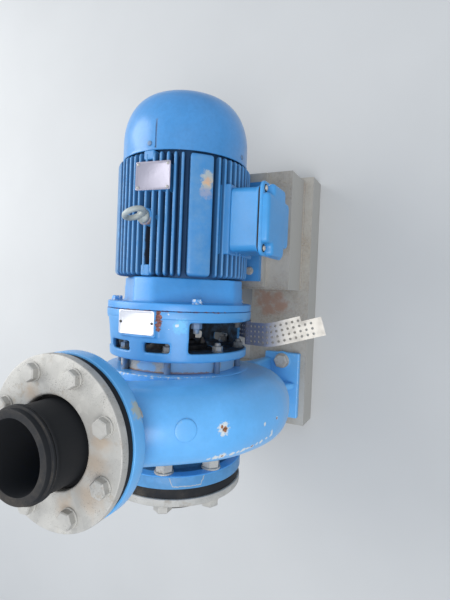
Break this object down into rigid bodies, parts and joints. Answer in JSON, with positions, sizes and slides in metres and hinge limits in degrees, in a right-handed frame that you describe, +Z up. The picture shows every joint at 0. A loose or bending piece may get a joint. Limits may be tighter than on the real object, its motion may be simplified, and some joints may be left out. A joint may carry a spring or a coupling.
{
  "type": "close-coupled centrifugal pump",
  "caption": "End-suction centrifugal pump with an upright discharge, a windowed lantern and a finned electric motor, on a low welded steel base.",
  "frame": {"origin": "on the underside of the base, below the crossing of the shaft axis and the discharge branch", "axes": "+X along the shaft from the suction branch to the fan, +Y away from the terminal box, +Z up"},
  "size_m": [0.819, 0.5282, 0.723],
  "materials": {
    "blue_enamel": "light blue gloss enamel, chipped and rusting at edges",
    "faded_blue_enamel": "deeper blue enamel, weathered",
    "pipe_plastic": "black moulded plastic",
    "galvanised_steel": "dull zinc coating with brown dirt",
    "bare_iron": "bare machined iron, grey and rusting",
    "bright_steel": "turned steel",
    "label_metal": "satin sheet, left bare",
    "guard_sheet": "perforated stainless sheet",
    "dusty_steel": "structural steel under dust and rust"
  },
  "bodies": {
    "root": {"volute_casing": "blue_enamel", "lantern": "blue_enamel", "motor_drive_end_shield": "blue_enamel", "motor_fan_cowl": "blue_enamel", "terminal_box": "blue_enamel", "terminal_box_lid": "blue_enamel", "motor_frame": "faded_blue_enamel", "motor_fan_end_shield": "faded_blue_enamel", "motor_foot_near": "faded_blue_enamel", "motor_foot_far": "faded_blue_enamel", "discharge_flange_adaptor": "pipe_plastic", "suction_flange_adaptor": "pipe_plastic", "motor_cooling_fan": "pipe_plastic", "cable_gland": "pipe_plastic", "discharge_backing_ring": "galvanised_steel", "suction_backing_ring": "galvanised_steel", "lifting_eye": "galvanised_steel", "casing_cover": "bare_iron", "impeller": "bare_iron", "seal_gland": "bright_steel", "pump_shaft": "bright_steel", "lantern_label_plate": "label_metal", "motor_label_plate": "label_metal", "window_guard_strip": "guard_sheet", "base_rail_near": "dusty_steel", "base_rail_far": "dusty_steel", "base_cross_member_pump": "dusty_steel", "base_cross_member_motor": "dusty_steel", "motor_stool_near": "dusty_steel", "motor_stool_far": "dusty_steel", "motor_packer_near": "dusty_steel", "motor_packer_far": "dusty_steel"}
  },
  "joints": []
}
